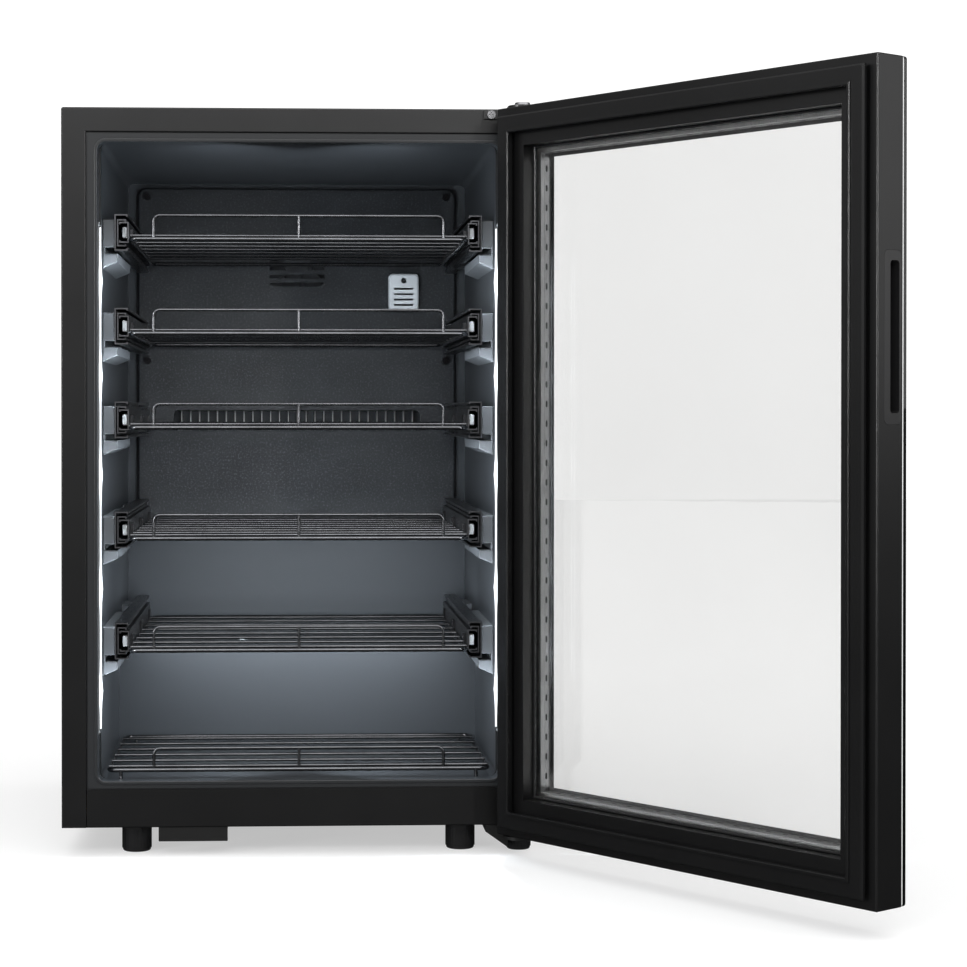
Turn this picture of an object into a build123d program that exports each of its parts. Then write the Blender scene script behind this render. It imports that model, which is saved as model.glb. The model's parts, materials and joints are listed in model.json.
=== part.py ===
"""Free-standing wine cooler with its door open, built as separate pieces.

Millimetres, +Z up.  +X is the hinge side, -Y is the front.  The origin is on the floor under the
middle of the cabinet.  The door stands at its open stop.
"""
import os
from math import cos, radians, sin

from build123d import *

os.makedirs("parts", exist_ok=True)

# ---------------------------------------------------------------- driving dimensions
gap = 0.3  # between neighbouring pieces

# cabinet
cabinet_width = 450.0
cabinet_depth = 470.0
cabinet_height = 683.0
cabinet_bottom = 27.5
cabinet_top = cabinet_bottom + cabinet_height
half_width = cabinet_width / 2
front_y = -cabinet_depth / 2
back_y = cabinet_depth / 2
wrap_sheet = 1.5
front_band = 23.5  # folded front flange of the wrap
band_groove = 1.4  # dark groove between the wrap and the liner's flange
apron_height = 36.0
edge_round = 1.2  # bent edges of the wrap and the apron
apron_gap = 0.3  # between the apron's ends and the wrap's side bands
floor_strip = 30.0  # front strip of the base pan's floor, between the side bands
lip_round = 1.2  # rounded inner edge of the wrap's front band
rib_pitch = 130.0  # pressed ribs in the rear panel
rib_length = 420.0
rib_width = 12.0
rib_height = 1.5
rear_sheet = 1.0
rear_cover_sheet = 1.2
cord_bush_radius = 8.0
cord_radius = 3.6
cord_x = -195.0  # where the mains lead enters
cord_z = 52.0

# liner
liner_wall = 2.0
flange_tuck = 5.5  # the flange's edge reaches this far behind the wrap's fold
flange_tuck_depth = 1.9
flange_tuck_sheet = 1.5
mouth_half = 190.5
mouth_depth = 16.0
cavity_half = 188.8
cavity_bottom = cabinet_bottom + 44.3
cavity_top = cabinet_top - 33.0
cavity_depth = 404.0
step_front = 254.0  # where the compressor step starts, from the front
step_top = 174.0
pocket_half = 170.0  # recess in the back wall for the fan and the evaporator
pocket_bottom = 305.0
pocket_top = 668.0
pocket_depth = 28.0
mouth_corner = 7.5
cavity_corner = 6.0
bead_width = 3.6
bead_height = 1.2
bead_round = 1.0

# base and compressor space
base_sheet = 1.5
bay_front = 276.0
bay_top = 156.0
deck_sheet = 2.0
deck_upstand = 22.0
drain_x = -60.0
drain_y = front_y + 330.0
drain_radius = 4.9
line_x = 150.0  # suction line's riser
line_y = front_y + 448.0
line_z = 340.0
line_hole = 6.5

# shelves and slides
shelf_levels = [587.0, 497.0, 407.0, 301.0, 194.0]
frame_wire = 2.1
deck_wire = 1.5
weld = 0.35  # how far welded wires sink into each other
shelf_half = 160.8
shelf_front = 15.0
shelf_rear = 386.0
shelf_cross_wires = 7
gallery_height = 22.5
gallery_half = 138.5
gallery_corner = 6.0
frame_corner = 7.0
first_wire = 2.5  # the first deck wire lies just behind the front bar
lug_depths = (55.0, 200.0, 345.0)
lug_length = 14.0
slide_above_wire = 7.5
slide_front = 33.0
slide_length = 350.0
slide_sheet = 1.2
slide_back = 177.0
slide_lip = 2.4
inner_web = 163.2
base_rack_z = 80.0
base_rack_half = 181.4
base_rack_rear = 246.0
rack_pitches = 6
rack_leg_x = 170.0

# door
door_open = 126.9
door_thickness = 36.0
door_height = 683.0
door_bottom = 23.8
door_top = door_bottom + door_height
door_gap = 10.0  # between the door's inner face and the cabinet
hinge_x = 210.0
hinge_to_front = 28.9
hinge_y = front_y - hinge_to_front
hinge_edge = half_width - hinge_x
free_edge = hinge_edge - cabinet_width
inner_face = hinge_to_front - door_gap
outer_face = inner_face - door_thickness
glass_thickness = 4.0
door_lip = 37.0  # frame width around the window
window_recess = 14.5
clear_border = 46.5
spacer_inset = 43.0  # the spacer's inner faces, just outside the clear border
pin_radius = 3.0
pin_fit = 0.03
bush_fit = 0.06
hinge_screw_head = 4.0
hinge_screw_shank = 2.0
bracket_sheet = 2.5
tab_radius = 13.5
bush_radius = 5.0
bush_length = 14.0
bush_seat = 0.05
gasket_inset = 8.5
gasket_width = 16.5
gasket_short = 2.0  # how far the gasket's face stops short of the cabinet
ridge_short = 0.4
ridge_width = 3.6
ridge_round = 1.0
dart_inset = 14.0
dart_width = 4.0
dart_depth = 3.2

# feet
foot_x = 156.0
foot_depth = 35.0
hinge_foot_x = 212.0
hinge_foot_depth = 28.0
stud_radius = 4.0
stud_clearance = 0.08
stud_top = 44.0
rib_stand_out = 0.8  # the skirt's ribs
rear_foot_x = 180.0
rear_foot_depth = 440.0
front_foot_radius = 14.2
hinge_foot_radius = 12.0


# ---------------------------------------------------------------- helpers
def save(builder, name):
    """Label a finished piece and write it as its own STEP file."""
    builder.part.label = name
    export_step(builder.part, f"parts/{name}.step")


def block(x0, x1, y0, y1, z0, z1, mode=Mode.ADD):
    """A box between two corners."""
    with Locations(((x0 + x1) / 2, (y0 + y1) / 2, (z0 + z1) / 2)):
        Box(abs(x1 - x0), abs(y1 - y0), abs(z1 - z0), mode=mode)


def depth(distance):
    """The Y of a point this far behind the cabinet's front plane."""
    return front_y + distance


def front_plane(y):
    """A sketch plane across the cabinet: X to the right, Z up, facing the front."""
    return Plane.XZ.offset(-y)


def rod(start, end, radius, mode=Mode.ADD):
    """A round bar from start to end."""
    axis = Vector(*end) - Vector(*start)
    with BuildSketch(Plane(origin=start, z_dir=axis)) as section:
        Circle(radius)
    extrude(section.sketch, amount=axis.length, mode=mode)


def rectangle(x0, x1, z0, z1, corner=0.0, mode=Mode.ADD):
    """A rectangle between two corners of the current sketch, with round corners if asked."""
    with Locations(((x0 + x1) / 2, (z0 + z1) / 2)):
        if corner:
            RectangleRounded(x1 - x0, z1 - z0, corner, mode=mode)
        else:
            Rectangle(x1 - x0, z1 - z0, mode=mode)


def tube(points, bends, radius):
    """A round tube along straight runs joined by tangent bends."""
    with BuildLine() as route:
        FilletPolyline(*points, radius=bends)
    with BuildSketch(Plane(origin=route.line @ 0, z_dir=route.line % 0)) as section:
        Circle(radius)
    sweep(section.sketch, path=route.line)


# ---------------------------------------------------------------- cabinet shell
with BuildPart() as outer_wrap:
    with BuildSketch(front_plane(back_y)) as wrap_profile:
        rectangle(-half_width, half_width, cabinet_bottom, cabinet_top)
        fillet(wrap_profile.vertices().group_by(Axis.Y)[-1], 2.5)
        rectangle(
            -half_width + wrap_sheet, half_width - wrap_sheet,
            cabinet_bottom, cabinet_top - wrap_sheet, mode=Mode.SUBTRACT,
        )
    extrude(amount=cabinet_depth)
    with BuildSketch(front_plane(front_y + wrap_sheet)):
        rectangle(
            -half_width + wrap_sheet, half_width - wrap_sheet,
            cabinet_bottom, cabinet_top - wrap_sheet,
        )
        rectangle(
            -half_width + front_band, half_width - front_band,
            cabinet_bottom, cabinet_top - front_band, mode=Mode.SUBTRACT,
        )
    extrude(amount=wrap_sheet)
    front_corners = outer_wrap.edges().filter_by(
        lambda e: abs(e.center().Y - front_y) < 0.01
        and (abs(abs(e.center().X) - half_width) < 0.01 or abs(e.center().Z - cabinet_top) < 0.01)
    )
    fillet(front_corners, edge_round)
    band_lip = outer_wrap.edges().filter_by(
        lambda e: abs(e.center().Y - front_y) < 0.01
        and (abs(abs(e.center().X) - (half_width - front_band)) < 0.01
             or abs(e.center().Z - (cabinet_top - front_band)) < 0.01)
    )
    fillet(band_lip, lip_round)
save(outer_wrap, "outer_wrap")

with BuildPart() as rear_panel:
    with BuildSketch(front_plane(back_y)):
        rectangle(-half_width + wrap_sheet + gap, half_width - wrap_sheet - gap,
                  bay_top + 4, cabinet_top - wrap_sheet - gap)
    extrude(amount=rear_sheet)
    # pressed stiffening ribs that stand inwards
    rib_middle = (bay_top + cabinet_top) / 2
    with BuildSketch(front_plane(back_y - rear_sheet)):
        with GridLocations(rib_pitch, 0, 3, 1):
            with Locations((0, rib_middle)):
                SlotOverall(rib_length, rib_width, rotation=90)
    extrude(amount=rib_height)
    with BuildSketch(front_plane(back_y)):
        with GridLocations(rib_pitch, 0, 3, 1):
            with Locations((0, rib_middle)):
                SlotOverall(rib_length - 2 * rear_sheet, rib_width - 2 * rear_sheet, rotation=90)
    extrude(amount=rib_height, mode=Mode.SUBTRACT)
save(rear_panel, "rear_panel")

vent_middle = 95.0
with BuildPart() as rear_cover:
    with BuildSketch(front_plane(back_y)):
        rectangle(-half_width + wrap_sheet + gap, half_width - wrap_sheet - gap,
                  cabinet_bottom + 5, bay_top + 3, corner=2)
        with Locations((0, vent_middle)):
            with GridLocations(34, 16, 11, 4):
                SlotOverall(26, 5, mode=Mode.SUBTRACT)
        with Locations((cord_x, cord_z)):
            Circle(cord_bush_radius + 0.2, mode=Mode.SUBTRACT)
    extrude(amount=rear_cover_sheet)
save(rear_cover, "rear_cover")

with BuildPart() as base_pan:
    # front apron, floor, riser and shelf over the compressor, folded from one sheet
    apron_half = half_width - front_band - apron_gap
    block(-apron_half, apron_half, front_y, depth(base_sheet), cabinet_bottom,
          cabinet_bottom + apron_height)
    inside = half_width - wrap_sheet - gap
    block(-apron_half, apron_half, depth(0), depth(floor_strip), cabinet_bottom,
          cabinet_bottom + base_sheet)
    block(-inside, inside, depth(wrap_sheet + gap), depth(bay_front), cabinet_bottom,
          cabinet_bottom + base_sheet)
    block(-inside, inside, depth(bay_front - base_sheet), depth(bay_front), cabinet_bottom, bay_top)
    block(-inside, inside, depth(bay_front - base_sheet), back_y - 3, bay_top - base_sheet, bay_top)
    for x in (-foot_x, foot_x):
        with Locations((x, depth(foot_depth), cabinet_bottom)):
            Cylinder(stud_radius + stud_clearance, 10, mode=Mode.SUBTRACT)
    with Locations((hinge_foot_x, depth(hinge_foot_depth), cabinet_bottom)):
        Cylinder(stud_radius + stud_clearance, 10, mode=Mode.SUBTRACT)
    # way through for the suction line and the drain
    with Locations((line_x, line_y, bay_top), (drain_x, drain_y, bay_top)):
        Cylinder(line_hole, 10, mode=Mode.SUBTRACT)
    apron_edges = base_pan.edges().filter_by(
        lambda e: abs(e.center().Y - front_y) < 0.01 and abs(e.center().Z - cabinet_bottom) < 0.01
    )
    fillet(apron_edges, edge_round)
save(base_pan, "base_pan")

with BuildPart() as compressor_deck:
    deck_half = half_width - wrap_sheet - gap
    block(-deck_half, deck_half, depth(bay_front + gap), back_y - 2, cabinet_bottom,
          cabinet_bottom + deck_sheet)
    for side in (-1, 1):
        block(side * (deck_half - deck_sheet), side * deck_half, depth(bay_front + gap), back_y - 2,
              cabinet_bottom, cabinet_bottom + deck_upstand)
save(compressor_deck, "compressor_deck")


def liner_envelope(grow, mode=Mode.ADD):
    """The liner's cavity, its step, mouth and rear pocket, all grown by this much."""
    corner = cavity_corner + grow
    with BuildSketch(front_plane(depth(step_front) + grow)) as front_section:
        rectangle(-cavity_half - grow, cavity_half + grow, cavity_bottom - grow, cavity_top + grow, corner)
    extrude(front_section.sketch, amount=step_front - mouth_depth + 1, mode=mode)
    with BuildSketch(front_plane(depth(cavity_depth) + grow)) as rear_section:
        rectangle(-cavity_half - grow, cavity_half + grow, step_top - grow, cavity_top + grow, corner)
    extrude(rear_section.sketch, amount=cavity_depth - mouth_depth + 1, mode=mode)
    with BuildSketch(front_plane(depth(mouth_depth) + grow)) as mouth:
        rectangle(-mouth_half - grow, mouth_half + grow, cavity_bottom - grow, cavity_top + grow,
                  corner=mouth_corner)
    extrude(mouth.sketch, amount=mouth_depth + grow + bead_height, mode=mode)
    block(-pocket_half - grow, pocket_half + grow, depth(cavity_depth) - 1,
          depth(cavity_depth + pocket_depth) + grow, pocket_bottom - grow, pocket_top + grow, mode=mode)


with BuildPart() as inner_liner:
    liner_envelope(liner_wall)
    # flange that clips into the wrap's folded front
    with BuildSketch(front_plane(depth(liner_wall))):
        rectangle(
            -half_width + front_band + band_groove, half_width - front_band - band_groove,
            cabinet_bottom + apron_height + band_groove, cabinet_top - front_band - band_groove,
            corner=2,
        )
    extrude(amount=liner_wall)
    # the flange's edge, tucked behind the wrap and the apron so that it closes the groove
    tuck_edge = front_band + band_groove - flange_tuck
    with BuildSketch(front_plane(depth(flange_tuck_depth + flange_tuck_sheet))):
        rectangle(-half_width + tuck_edge, half_width - tuck_edge,
                  cabinet_bottom + apron_height + band_groove - flange_tuck, cabinet_top - tuck_edge)
    extrude(amount=flange_tuck_sheet)
    # raised bead around the mouth
    with BuildSketch(front_plane(depth(0))):
        rectangle(-mouth_half - bead_width, mouth_half + bead_width,
                  cavity_bottom - bead_width, cavity_top + bead_width,
                  corner=mouth_corner + bead_width)
    extrude(amount=bead_height)
    liner_envelope(0, mode=Mode.SUBTRACT)
    bead_edges = inner_liner.edges().filter_by(
        lambda e: abs(e.center().Y - (front_y - bead_height)) < 0.01
    )
    fillet(bead_edges, bead_round)
    # drain outlet in the compressor step and the suction line's way into the pocket
    with Locations((drain_x, drain_y, step_top)):
        Cylinder(drain_radius + gap, 12, mode=Mode.SUBTRACT)
    with Locations(Location((line_x, depth(cavity_depth + pocket_depth), line_z), (90, 0, 0))):
        Cylinder(line_hole, 12, mode=Mode.SUBTRACT)
save(inner_liner, "inner_liner")

with BuildPart() as foam_insulation:
    foam_half = half_width - wrap_sheet - gap
    foam_front = depth(flange_tuck_depth + flange_tuck_sheet + gap)
    block(-foam_half, foam_half, foam_front, back_y - 4,
          cabinet_bottom + base_sheet + gap, cabinet_top - wrap_sheet - gap)
    liner_envelope(liner_wall + gap, mode=Mode.SUBTRACT)
    block(-foam_half, foam_half, depth(bay_front - base_sheet - gap), back_y,
          cabinet_bottom, bay_top + gap, mode=Mode.SUBTRACT)
    # clear of the feet's studs
    block(-foam_half - 1, foam_half + 1, depth(0), depth(55), cabinet_bottom,
          cabinet_bottom + apron_height + band_groove, mode=Mode.SUBTRACT)
    block(line_x - 12, line_x + 12, line_y - 14, back_y, bay_top - 2, line_z + 12, mode=Mode.SUBTRACT)
    with Locations((drain_x, drain_y, step_top - 8)):
        Cylinder(drain_radius + 3, 40, mode=Mode.SUBTRACT)
save(foam_insulation, "foam_insulation")

# ---------------------------------------------------------------- air circulation on the back wall
cover_face = depth(cavity_depth - 10.5)
cover_wall = 2.5
cover_half = 177.0
cover_bottom = 300.0
cover_top = 672.0
cover_holes = [(x, z) for x in (-167, 167) for z in (663, 480, 312)]
cover_thick = 10.2
cover_corner = 10.0
cover_front_rim = 2.0
air_slot_half = 138.0
air_slot_low = 402.0
air_slot_high = 425.0
grille_slots = 7
grille_pitch = 9.0
screw_head = 4.4
screw_shank = 1.9
cross_length = 4.6  # the drive cross in each screw's head
cross_width = 1.0
fan_z = 592.0
fan_size = 84.0

with BuildPart() as evaporator_cover:
    with BuildSketch(front_plane(depth(cavity_depth) - gap)):
        rectangle(-cover_half, cover_half, cover_bottom, cover_top, corner=cover_corner)
    extrude(amount=cover_thick)
    front_rim = evaporator_cover.faces().sort_by(Axis.Y)[0].edges()
    fillet(front_rim, cover_front_rim)
    with BuildSketch(front_plane(depth(cavity_depth) - gap)):
        rectangle(-cover_half + cover_wall, cover_half - cover_wall,
                  cover_bottom + cover_wall, cover_top - cover_wall, corner=cover_corner - cover_wall)
    extrude(amount=cover_thick - cover_wall, mode=Mode.SUBTRACT)
    # long air slot, the fan's grille and the screw holes
    with BuildSketch(front_plane(depth(cavity_depth))):
        rectangle(-air_slot_half, air_slot_half, air_slot_low, air_slot_high, corner=7)
        with Locations((0, fan_z)):
            with GridLocations(0, grille_pitch, 1, grille_slots):
                SlotOverall(62, grille_pitch / 2)
        with Locations(*cover_holes):
            Circle(screw_shank + gap)
    extrude(amount=20, mode=Mode.SUBTRACT)
save(evaporator_cover, "evaporator_cover")

with BuildPart() as cover_screws:
    for x, z in cover_holes:
        with BuildSketch(front_plane(cover_face - 0.02)):
            with Locations((x, z)):
                Circle(screw_head)
        extrude(amount=1.9)
        with BuildSketch(front_plane(cover_face + 7)):
            with Locations((x, z)):
                Circle(screw_shank)
        extrude(amount=8)
    with BuildSketch(front_plane(cover_face - 0.9)):
        with Locations(*cover_holes):
            Rectangle(cross_length, cross_width)
            Rectangle(cross_width, cross_length)
    extrude(amount=2, mode=Mode.SUBTRACT)
save(cover_screws, "cover_screws")

cap_x = 119.0
cap_z = 556.0
cap_width = 34.0
cap_height = 42.0
with BuildPart() as sensor_cap:
    with BuildSketch(front_plane(cover_face - gap)):
        with Locations((cap_x, cap_z)):
            RectangleRounded(cap_width, cap_height, 5)
    extrude(amount=11)
    cap_rim = sensor_cap.faces().sort_by(Axis.Y)[0].edges()
    fillet(cap_rim, 3)
    with BuildSketch(front_plane(cover_face)):
        with Locations((cap_x, cap_z + 13)):
            Circle(3.2)
        with GridLocations(0, 6, 1, 4):
            with Locations((cap_x, cap_z - 5)):
                SlotOverall(22, 2.2)
    extrude(amount=20, mode=Mode.SUBTRACT)
save(sensor_cap, "sensor_cap")

fan_front = depth(cavity_depth + 1)
fan_depth = 22.0
fan_wall = 3.0
fan_strut = 4.0
fan_hub = 15.0
fan_hub_depth = 13.0
fan_blades = 7
blade_pitch_angle = 32.0
axle_radius = 2.0
axle_fit = 0.06
with BuildPart() as fan_housing:
    with BuildSketch(front_plane(fan_front + fan_depth)):
        with Locations((0, fan_z)):
            RectangleRounded(fan_size, fan_size, 6)
            Circle(fan_size / 2 - fan_wall, mode=Mode.SUBTRACT)
    extrude(amount=fan_depth)
    with BuildSketch(front_plane(fan_front + fan_depth)):
        with Locations((0, fan_z)):
            Circle(fan_hub + 2)
            Rectangle(fan_size - 5, fan_strut)
            Rectangle(fan_strut, fan_size - 5)
    extrude(amount=fan_wall)
    with BuildSketch(front_plane(fan_front + fan_depth)):
        with Locations((0, fan_z)):
            Circle(axle_radius)
    extrude(amount=16)
save(fan_housing, "fan_housing")

with BuildPart() as fan_impeller:
    hub_rear = fan_front + fan_depth - 4
    with BuildSketch(front_plane(hub_rear)):
        with Locations((0, fan_z)):
            Circle(fan_hub)
    extrude(amount=fan_hub_depth)
    for k in range(fan_blades):
        angle = radians(k * 360 / fan_blades)
        outward = Vector(cos(angle), 0, sin(angle))
        with BuildSketch(Plane(
            origin=Vector(0, hub_rear - fan_hub_depth / 2, fan_z) + outward * (fan_hub - 1.5),
            x_dir=(-sin(angle), 0, cos(angle)), z_dir=outward,
        )):
            Rectangle(20, 1.3, rotation=blade_pitch_angle)
        extrude(amount=23.5)
    with BuildSketch(front_plane(hub_rear + 1)):
        with Locations((0, fan_z)):
            Circle(axle_radius + axle_fit)
    extrude(amount=fan_hub_depth, mode=Mode.SUBTRACT)
save(fan_impeller, "fan_impeller")

coil_left = -150.0
coil_right = 150.0
coil_y = depth(cavity_depth + 16)
coil_passes = 8
coil_pitch = 22.0
coil_tube = 4.0
fin_left = -130.0
fin_pitch = 10.0
fin_count = 27
fin_sheet = 0.8
fin_half = 9.0
fin_low = 329.0
fin_high = 505.0
with BuildPart() as evaporator_coil:
    coil_points = [(coil_right, coil_y + 20.0, line_z), (coil_right, coil_y, line_z)]
    for k in range(coil_passes):
        z = line_z + coil_pitch * k
        ends = (coil_right, coil_left) if k % 2 == 0 else (coil_left, coil_right)
        if k:
            coil_points.append((ends[0], coil_y, z))
        coil_points.append((ends[1], coil_y, z))
    tube(coil_points, 9.0, coil_tube)
    # fins pressed on the tube
    for k in range(fin_count):
        x = fin_left + fin_pitch * k
        block(x, x + fin_sheet, coil_y - fin_half, coil_y + fin_half, fin_low, fin_high)
save(evaporator_coil, "evaporator_coil")

# ---------------------------------------------------------------- lighting
led_bottom = 119.0
led_top = 599.0
lens_inner = 187.2
lens_outer = 189.4
lens_front = 5.0
lens_rear = 11.5
with BuildPart() as led_housings:
    for side in (-1, 1):
        block(side * (lens_outer + 0.1), side * (mouth_half - 0.1), depth(lens_front - 1.5),
              depth(lens_rear + 1.5), led_bottom - 3, led_top + 3)
save(led_housings, "led_housings")

with BuildPart() as led_lenses:
    for side in (-1, 1):
        block(side * lens_inner, side * lens_outer, depth(lens_front), depth(lens_rear), led_bottom, led_top)
    lens_edges = led_lenses.edges().filter_by(Axis.Z).filter_by(
        lambda e: abs(e.center().X) < lens_inner + 0.1
    )
    fillet(lens_edges, 1.2)
save(led_lenses, "led_lenses")


# ---------------------------------------------------------------- telescopic slides
def channel(side, web, mouth, half_height, lip, centre):
    """Face of a C-shaped rail: its web at x = web, open at x = mouth, on the given side."""
    inward = 1 if mouth > web else -1
    web_in = web + inward * slide_sheet
    lip_in = mouth - inward * slide_sheet
    low = [
        (web, -half_height),
        (mouth, -half_height),
        (mouth, -half_height + lip),
        (lip_in, -half_height + lip),
        (lip_in, -half_height + slide_sheet),
        (web_in, -half_height + slide_sheet),
    ]
    outline = low + [(x, -z) for x, z in reversed(low)]
    with BuildLine() as outline_wire:
        Polyline(*[(side * x, centre + z) for x, z in outline], close=True)
    make_face(outline_wire.edges())


spacer_front = 37.0
spacer_rear = 217.0
spacer_high = 13.0  # above the slide's centre
spacer_step = -14.0
pad_inner = 174.5
pad_top = -20.0
pad_low = -34.0
with BuildPart() as slide_spacers:
    for level in shelf_levels:
        centre = level + slide_above_wire
        for side in (-1, 1):
            with BuildSketch(front_plane(depth(spacer_rear))):
                with BuildLine():
                    Polyline(
                        (side * (cavity_half - 0.1), centre + spacer_high),
                        (side * (slide_back + 0.2), centre + spacer_high),
                        (side * (slide_back + 0.2), centre + spacer_step),
                        (side * (cavity_half - 2.4), centre + spacer_step),
                        (side * (cavity_half - 2.4), centre + pad_top),
                        (side * pad_inner, centre + pad_top),
                        (side * pad_inner, centre + pad_top - 8),
                        (side * (cavity_half - 0.1), centre + pad_low),
                        close=True,
                    )
                make_face()
            extrude(amount=spacer_rear - spacer_front)
            block(side * (slide_back + 0.2), side * (cavity_half - 0.1), depth(300), depth(360),
                  centre + spacer_step, centre + spacer_high)
    spacer_edges = slide_spacers.edges().filter_by(
        lambda e: abs(e.center().Y - depth(spacer_front)) < 0.01 and e.length > 5
    )
    chamfer(spacer_edges, 0.8)
save(slide_spacers, "slide_spacers")

with BuildPart() as slide_outer_rails:
    for level in shelf_levels:
        for side in (-1, 1):
            with BuildSketch(front_plane(depth(slide_front + slide_length))):
                channel(side, slide_back, slide_back - 12.6, 17.5, slide_lip, level + slide_above_wire)
            extrude(amount=slide_length)
save(slide_outer_rails, "slide_outer_rails")


def make_shelf(number, level):
    """One sliding shelf: its wire deck, the inner rails it hangs on and the intermediate rails."""
    centre = level + slide_above_wire
    with BuildPart() as shelf:
        front = depth(shelf_front)
        rear = depth(shelf_rear)
        with BuildLine() as frame_line:
            FilletPolyline(
                (shelf_half, front, level), (shelf_half, rear, level),
                (-shelf_half, rear, level), (-shelf_half, front, level),
                radius=frame_corner, close=True,
            )
        with BuildSketch(Plane(origin=frame_line.line @ 0, z_dir=frame_line.line % 0)):
            Circle(frame_wire)
        sweep(path=frame_line.line)
        deck_z = level + frame_wire + deck_wire - weld
        pitch = (shelf_rear - shelf_front) / (shelf_cross_wires + 1)
        for k in range(shelf_cross_wires + 1):
            y = front + (first_wire if k == 0 else pitch * k)
            rod((-shelf_half, y, deck_z), (shelf_half, y, deck_z), deck_wire)
        # gallery rail that keeps the bottles on the shelf
        rail_z = level + gallery_height
        with BuildLine() as gallery_line:
            FilletPolyline(
                (-gallery_half, front, level), (-gallery_half, front, rail_z),
                (gallery_half, front, rail_z), (gallery_half, front, level), radius=gallery_corner,
            )
        with BuildSketch(Plane(origin=gallery_line.line @ 0, z_dir=gallery_line.line % 0)):
            Circle(deck_wire)
        sweep(path=gallery_line.line)
        rod((0, front, level), (0, front, rail_z), deck_wire)
        # lugs that carry the deck on the inner rails
        for side in (-1, 1):
            for at in lug_depths:
                block(side * shelf_half, side * (inner_web - 0.1), depth(at), depth(at + lug_length),
                      level - 1.6, level + 12)
    save(shelf, f"shelf_{number}")

    with BuildPart() as inner_rails:
        for side in (-1, 1):
            with BuildSketch(front_plane(depth(slide_front - 2 + slide_length))):
                channel(side, inner_web, inner_web + 9.2, 10.0, slide_lip, centre)
            extrude(amount=slide_length)
    save(inner_rails, f"slide_inner_rails_{number}")

    with BuildPart() as mid_rails:
        for side in (-1, 1):
            with BuildSketch(front_plane(depth(slide_front + slide_length - 6))):
                channel(side, slide_back - 2.2, slide_back - 10.8, 13.0, slide_lip, centre)
            extrude(amount=slide_length - 10)
    save(mid_rails, f"slide_mid_rails_{number}")


for number, level in enumerate(shelf_levels, start=1):
    make_shelf(number, level)

with BuildPart() as base_rack:
    rack_front = depth(shelf_front)
    rack_rear = depth(base_rack_rear)
    with BuildLine() as rack_line:
        FilletPolyline(
            (base_rack_half, rack_front, base_rack_z), (base_rack_half, rack_rear, base_rack_z),
            (-base_rack_half, rack_rear, base_rack_z), (-base_rack_half, rack_front, base_rack_z),
            radius=frame_corner, close=True,
        )
    with BuildSketch(Plane(origin=rack_line.line @ 0, z_dir=rack_line.line % 0)):
        Circle(frame_wire)
    sweep(path=rack_line.line)
    rack_deck = base_rack_z + frame_wire + deck_wire - weld
    rack_pitch = (base_rack_rear - shelf_front) / rack_pitches
    for k in range(rack_pitches):
        y = rack_front + (first_wire if k == 0 else rack_pitch * k)
        rod((-base_rack_half, y, rack_deck), (base_rack_half, y, rack_deck), deck_wire)
    rack_rail = base_rack_z + gallery_height - 2
    with BuildLine() as rack_gallery:
        FilletPolyline(
            (-gallery_half, rack_front, base_rack_z), (-gallery_half, rack_front, rack_rail),
            (gallery_half, rack_front, rack_rail), (gallery_half, rack_front, base_rack_z),
            radius=gallery_corner,
        )
    with BuildSketch(Plane(origin=rack_gallery.line @ 0, z_dir=rack_gallery.line % 0)):
        Circle(deck_wire)
    sweep(path=rack_gallery.line)
    rod((0, rack_front, base_rack_z), (0, rack_front, rack_rail), deck_wire)
    for x in (-rack_leg_x, rack_leg_x):
        for y in (rack_front, rack_rear):
            rod((x, y, cavity_bottom + 0.1), (x, y, base_rack_z), frame_wire - 0.3)
save(base_rack, "base_rack")

# ---------------------------------------------------------------- refrigeration in the rear bay
compressor_x = 128.0
compressor_y = depth(378)
mount_places = [(dx, dy) for dx in (-68, 68) for dy in (-40, 40)]
plate_z = cabinet_bottom + deck_sheet + 9
shell_base = plate_z + 4
shell_wide = 58.0
shell_top_wide = 57.0
seam_wide = 62.0
seam_low = 50.0
seam_high = 54.0
shell_height = 104.0

with BuildPart() as compressor:
    with BuildSketch(Plane(origin=(compressor_x, compressor_y, 0), x_dir=(1, 0, 0), z_dir=(0, -1, 0))):
        with BuildLine():
            Spline((0, shell_base), (38, shell_base + 5), (shell_wide, shell_base + 26),
                   tangents=[(1, 0), (0.05, 1)])
            Polyline(
                (shell_wide, shell_base + 26), (shell_wide, shell_base + seam_low),
                (seam_wide, shell_base + seam_low), (seam_wide, shell_base + seam_high),
                (shell_top_wide, shell_base + seam_high), (shell_top_wide, shell_base + 66),
            )
            Spline((shell_top_wide, shell_base + 66), (40, shell_base + 93), (0, shell_base + shell_height),
                   tangents=[(0, 1), (-1, 0)])
            Line((0, shell_base + shell_height), (0, shell_base))
        make_face()
    revolve(axis=Axis((compressor_x, compressor_y, 0), (0, 0, 1)))
    with BuildSketch(Plane.XY.offset(plate_z)):
        with Locations((compressor_x, compressor_y)):
            RectangleRounded(156, 100, 10)
            with Locations(*mount_places):
                Circle(4.2, mode=Mode.SUBTRACT)
    extrude(amount=3)
    rod((compressor_x, compressor_y, plate_z + 1), (compressor_x, compressor_y, plate_z + 12), 30)
save(compressor, "compressor")

with BuildPart() as compressor_mounts:
    for dx, dy in mount_places:
        foot = (compressor_x + dx, compressor_y + dy)
        with BuildSketch(Plane.XY.offset(cabinet_bottom + deck_sheet)):
            with Locations(foot):
                Circle(10)
        extrude(amount=8.9, taper=8)
        with BuildSketch(Plane.XY.offset(plate_z - 1)):
            with Locations(foot):
                Circle(4.0)
        extrude(amount=9)
save(compressor_mounts, "compressor_mounts")

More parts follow.
